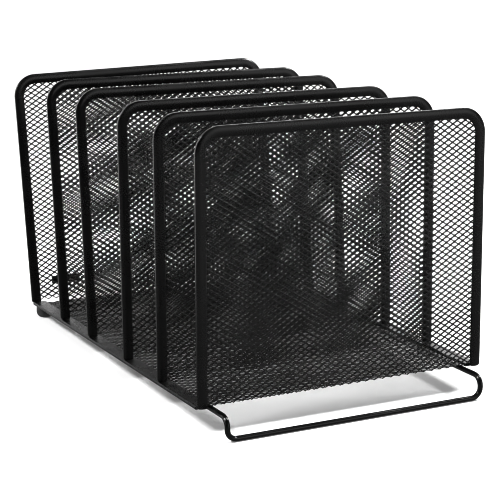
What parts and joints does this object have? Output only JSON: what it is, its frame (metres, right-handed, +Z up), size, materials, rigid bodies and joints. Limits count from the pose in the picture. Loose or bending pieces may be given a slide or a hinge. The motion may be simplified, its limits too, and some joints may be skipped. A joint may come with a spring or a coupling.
{
  "type": "desktop file sorter",
  "caption": "Desktop file sorter: upright mesh dividers in folded steel borders on a mesh floor, raised at the front by a bent wire stand and resting on rubber feet behind.",
  "frame": {"origin": "on the table, under the centre of the sorter's outline", "axes": "+Z up, -Y is the front with the wire stand, +X to the right of someone facing the front; the dividers lean back towards +Y"},
  "size_m": [0.2096, 0.334, 0.189],
  "materials": {
    "black_strip": "satin black powder coat on folded sheet steel",
    "black_mesh": "satin black powder coat on expanded steel mesh",
    "black_wire": "semi-gloss black coat on steel wire",
    "foot_rubber": "matt black rubber"
  },
  "bodies": {
    "root": {"front_divider_frame": "black_strip", "front_divider_mesh": "black_mesh", "second_divider_frame": "black_strip", "second_divider_mesh": "black_mesh", "third_divider_frame": "black_strip", "third_divider_mesh": "black_mesh", "fourth_divider_frame": "black_strip", "fourth_divider_mesh": "black_mesh", "fifth_divider_frame": "black_strip", "fifth_divider_mesh": "black_mesh", "rear_divider_frame": "black_strip", "rear_divider_mesh": "black_mesh", "floor_mesh": "black_mesh", "left_rail": "black_strip", "right_rail": "black_strip", "wire_stand": "black_wire", "left_rear_foot": "foot_rubber", "right_rear_foot": "foot_rubber", "rear_tag": "black_strip"}
  },
  "joints": []
}
